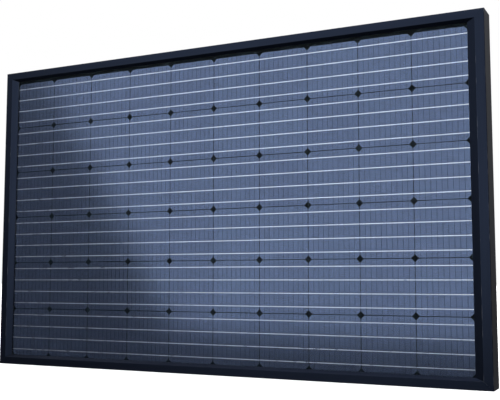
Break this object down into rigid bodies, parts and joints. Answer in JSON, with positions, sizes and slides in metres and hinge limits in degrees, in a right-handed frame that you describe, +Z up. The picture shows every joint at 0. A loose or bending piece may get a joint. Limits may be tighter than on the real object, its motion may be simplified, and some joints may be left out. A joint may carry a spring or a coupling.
{
  "type": "solar panel",
  "caption": "Framed solar panel with pseudo-square dark blue cells behind glass, a deep mitred black frame with a bevel inside its flat face, and a hinged junction box on the back.",
  "frame": {"origin": "centre of the bounding box's bottom face, on the surface that the panel stands on", "axes": "+X along the long side, to the right as seen from the front; +Y from the glass towards the back; +Z up, along the short side"},
  "size_m": [1.682, 0.075, 1.024],
  "materials": {
    "anodised_frame": "satin",
    "cast_key": "matte",
    "sealant": "matte",
    "solar_glass": "gloss",
    "clear_encapsulant": "gloss",
    "black_encapsulant": "satin",
    "black_sheet": "satin",
    "silicon_cell": "satin",
    "tinned_copper": "satin",
    "insulating_strip": "satin",
    "silicone_pad": "matte",
    "box_plastic": "satin",
    "seal_rubber": "matte",
    "steel_pin": "satin",
    "terminal_brass": "satin",
    "diode_body": "gloss",
    "label_film": "satin"
  },
  "bodies": {
    "panel": {"rail_top": "anodised_frame", "rail_bottom": "anodised_frame", "rail_left": "anodised_frame", "rail_right": "anodised_frame", "corner_key_top_left": "cast_key", "corner_key_top_right": "cast_key", "corner_key_bottom_left": "cast_key", "corner_key_bottom_right": "cast_key", "edge_seal": "sealant", "front_glass": "solar_glass", "front_encapsulant": "clear_encapsulant", "rear_encapsulant": "black_encapsulant", "backsheet": "black_sheet", "bus_cover_left": "black_sheet", "bus_cover_right": "black_sheet", "cell_string_1": "silicon_cell", "cell_string_2": "silicon_cell", "cell_string_3": "silicon_cell", "cell_string_4": "silicon_cell", "cell_string_5": "silicon_cell", "cell_string_6": "silicon_cell", "ribbons_1": "tinned_copper", "ribbons_2": "tinned_copper", "ribbons_3": "tinned_copper", "ribbons_4": "tinned_copper", "ribbons_5": "tinned_copper", "ribbons_6": "tinned_copper", "bus_ribbons_left": "tinned_copper", "bus_ribbons_right": "tinned_copper", "foil_leads": "tinned_copper", "lead_insulators": "insulating_strip", "jbox_adhesive": "silicone_pad", "jbox_base": "box_plastic", "gland_body_1": "box_plastic", "gland_body_2": "box_plastic", "gland_nut_1": "box_plastic", "gland_nut_2": "box_plastic", "gland_bush_1": "seal_rubber", "gland_bush_2": "seal_rubber", "jbox_hinge_pin": "steel_pin", "foil_clips": "steel_pin", "jbox_terminals": "terminal_brass", "bypass_diodes": "diode_body", "rating_label": "label_film"},
    "lid": {"jbox_lid": "box_plastic", "jbox_lid_seal": "seal_rubber"}
  },
  "joints": [
    {"name": "lid_hinge", "type": "hinge", "parent": "panel", "child": "lid", "pos_m": [0.7688, 0.0007, 0.5072], "axis": [0, 0, -1], "range_deg": [0, 100]}
  ]
}
